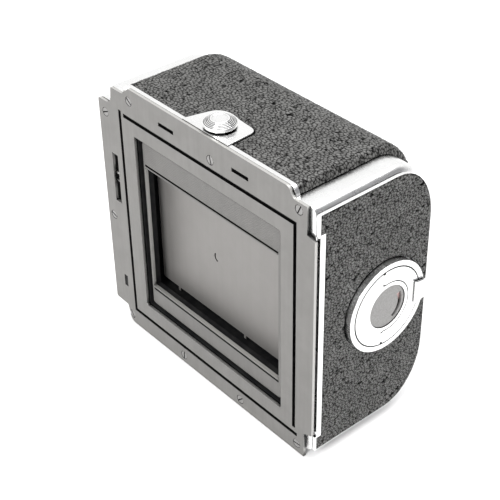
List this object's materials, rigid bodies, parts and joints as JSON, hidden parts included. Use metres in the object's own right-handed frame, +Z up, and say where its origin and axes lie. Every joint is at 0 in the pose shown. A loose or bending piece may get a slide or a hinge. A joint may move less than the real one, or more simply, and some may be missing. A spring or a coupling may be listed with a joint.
{
  "type": "roll-film magazine",
  "caption": "Detachable roll-film back for a medium-format camera: light-tight shell with a film gate, a side-loading insert on spools, geared winding and a sliding catch.",
  "frame": {"origin": "on the resting plane, under the optical axis, halfway between the mating plane and the leather on the back", "axes": "-Y faces the camera along the optical axis, +Z up, +X towards the side with the insert key"},
  "size_m": [0.0962, 0.0442, 0.0876],
  "materials": {
    "chromed_alloy": "satin chrome plate on die-cast alloy",
    "chromed_brass": "satin chrome plate on turned brass",
    "grey_anodised": "matt grey anodised",
    "bare_steel": "plain turned or rolled steel",
    "pressure_metal": "fine matt, flat ground",
    "gear_steel": "machined",
    "black_metal": "matt black paint",
    "black_leather": "fine pebble grain",
    "black_felt": "short pile",
    "clear_glass": "polished",
    "red_glass": "polished",
    "black_plastic": "moulded",
    "dial_white": "matt white paint"
  },
  "bodies": {
    "housing": {"housing_shell": "chromed_alloy", "body_leather": "black_leather", "front_plate": "grey_anodised", "plate_screw_1": "grey_anodised", "plate_screw_2": "grey_anodised", "plate_screw_3": "grey_anodised", "plate_screw_4": "grey_anodised", "plate_screw_5": "grey_anodised", "plate_screw_6": "grey_anodised", "plate_screw_7": "grey_anodised", "plate_screw_8": "grey_anodised", "plate_screw_9": "grey_anodised", "front_frame": "black_metal", "gate_mask": "grey_anodised", "light_seal": "black_felt", "crank_side_cover": "chromed_alloy", "crank_side_leather": "black_leather", "catch_plate": "chromed_alloy", "counter_bezel": "chromed_brass", "counter_window": "clear_glass", "status_window": "clear_glass", "drive_gear_post": "bare_steel", "idler_post": "bare_steel", "dial_post": "bare_steel", "flag_post": "bare_steel", "catch_spring": "bare_steel", "interlock_spring": "bare_steel"},
    "catch": {"catch_button": "chromed_brass", "catch_bar": "bare_steel"},
    "drive_gear": {"drive_gear": "gear_steel"},
    "idler_gear": {"idler_gear": "gear_steel"},
    "crank": {"takeup_gear": "gear_steel", "crank_shaft": "bare_steel", "crank_hub": "chromed_brass", "crank_arm_pin": "bare_steel"},
    "crank_arm": {"crank_arm": "chromed_brass"},
    "counter_dial": {"counter_dial": "dial_white"},
    "status_flag": {"status_flag": "dial_white"},
    "interlock": {"interlock_pin": "black_metal"},
    "insert": {"insert_end_plate": "chromed_alloy", "key_side_leather": "black_leather", "insert_carrier": "black_metal", "pressure_spring_left": "bare_steel", "pressure_spring_right": "bare_steel", "supply_pin_left": "bare_steel", "supply_pin_right": "bare_steel", "takeup_pin": "bare_steel", "key_ring": "chromed_brass"},
    "pressure_plate": {"pressure_plate": "pressure_metal"},
    "supply_spool": {"supply_spool": "black_plastic"},
    "takeup_spool": {"takeup_spool": "black_plastic"},
    "guide_roller_top": {"guide_roller_top": "black_metal"},
    "guide_roller_bottom": {"guide_roller_bottom": "black_metal"},
    "key": {"key_disc": "chromed_brass", "flap_pin_upper": "bare_steel", "flap_pin_lower": "bare_steel", "peep_cover": "grey_anodised", "peep_glass": "red_glass", "lock_cam": "bare_steel"},
    "key_flap": {"key_flap": "chromed_brass"}
  },
  "joints": [
    {"name": "catch_slide", "type": "slide", "parent": "housing", "child": "catch", "axis": [1, 0, 0], "range_m": [0, 0.003], "deforming": ["catch_spring"]},
    {"name": "crank_turn", "type": "hinge", "parent": "housing", "child": "crank", "pos_m": [0, 0.0044, 0.0213], "axis": [1, 0, 0], "continuous": true},
    {"name": "crank_arm_fold", "type": "hinge", "parent": "crank", "child": "crank_arm", "pos_m": [-0.04925, 0.0044, 0.0275], "axis": [0, 1, 0], "range_deg": [0, 170]},
    {"name": "drive_gear_turn", "type": "hinge", "parent": "housing", "child": "drive_gear", "pos_m": [0, -0.0131, 0.052], "axis": [1, 0, 0], "continuous": true},
    {"name": "idler_turn", "type": "hinge", "parent": "housing", "child": "idler_gear", "pos_m": [0, -0.00278, 0.03824], "axis": [1, 0, 0], "continuous": true},
    {"name": "dial_turn", "type": "hinge", "parent": "housing", "child": "counter_dial", "pos_m": [0, 0.0019, 0.054], "axis": [1, 0, 0], "continuous": true},
    {"name": "status_flag_swing", "type": "hinge", "parent": "housing", "child": "status_flag", "pos_m": [0, -0.0066, 0.07], "axis": [-1, 0, 0], "range_deg": [0, 40]},
    {"name": "interlock_press", "type": "slide", "parent": "housing", "child": "interlock", "axis": [0, 1, 0], "range_m": [0, 0.0015], "deforming": ["interlock_spring"]},
    {"name": "insert_slide", "type": "slide", "parent": "housing", "child": "insert", "axis": [1, 0, 0], "range_m": [0, 0.09]},
    {"name": "pressure_plate_travel", "type": "slide", "parent": "insert", "child": "pressure_plate", "axis": [0, -1, 0], "range_m": [0, 0.0032]},
    {"name": "supply_spool_turn", "type": "hinge", "parent": "insert", "child": "supply_spool", "pos_m": [0, 0.0044, 0.0635], "axis": [1, 0, 0], "continuous": true},
    {"name": "takeup_spool_turn", "type": "hinge", "parent": "insert", "child": "takeup_spool", "pos_m": [0, 0.0044, 0.0213], "axis": [1, 0, 0], "continuous": true},
    {"name": "guide_roller_top_turn", "type": "hinge", "parent": "insert", "child": "guide_roller_top", "pos_m": [0, -0.0138, 0.0712], "axis": [1, 0, 0], "continuous": true},
    {"name": "guide_roller_bottom_turn", "type": "hinge", "parent": "insert", "child": "guide_roller_bottom", "pos_m": [0, -0.0138, 0.0134], "axis": [1, 0, 0], "continuous": true},
    {"name": "key_turn", "type": "hinge", "parent": "insert", "child": "key", "pos_m": [0, 0.0023, 0.0426], "axis": [1, 0, 0], "range_deg": [0, 90]},
    {"name": "flap_fold", "type": "hinge", "parent": "key", "child": "key_flap", "pos_m": [0.04465, 0.00065, 0.0426], "axis": [0, 0, -1], "range_deg": [0, 90]}
  ],
  "couplings": [
    {"joint": "drive_gear_turn", "follows": "crank_turn", "ratio": 1.1579},
    {"joint": "idler_turn", "follows": "crank_turn", "ratio": -0.91667},
    {"joint": "dial_turn", "follows": "crank_turn", "ratio": 0.05},
    {"joint": "takeup_spool_turn", "follows": "crank_turn", "ratio": 1}
  ]
}
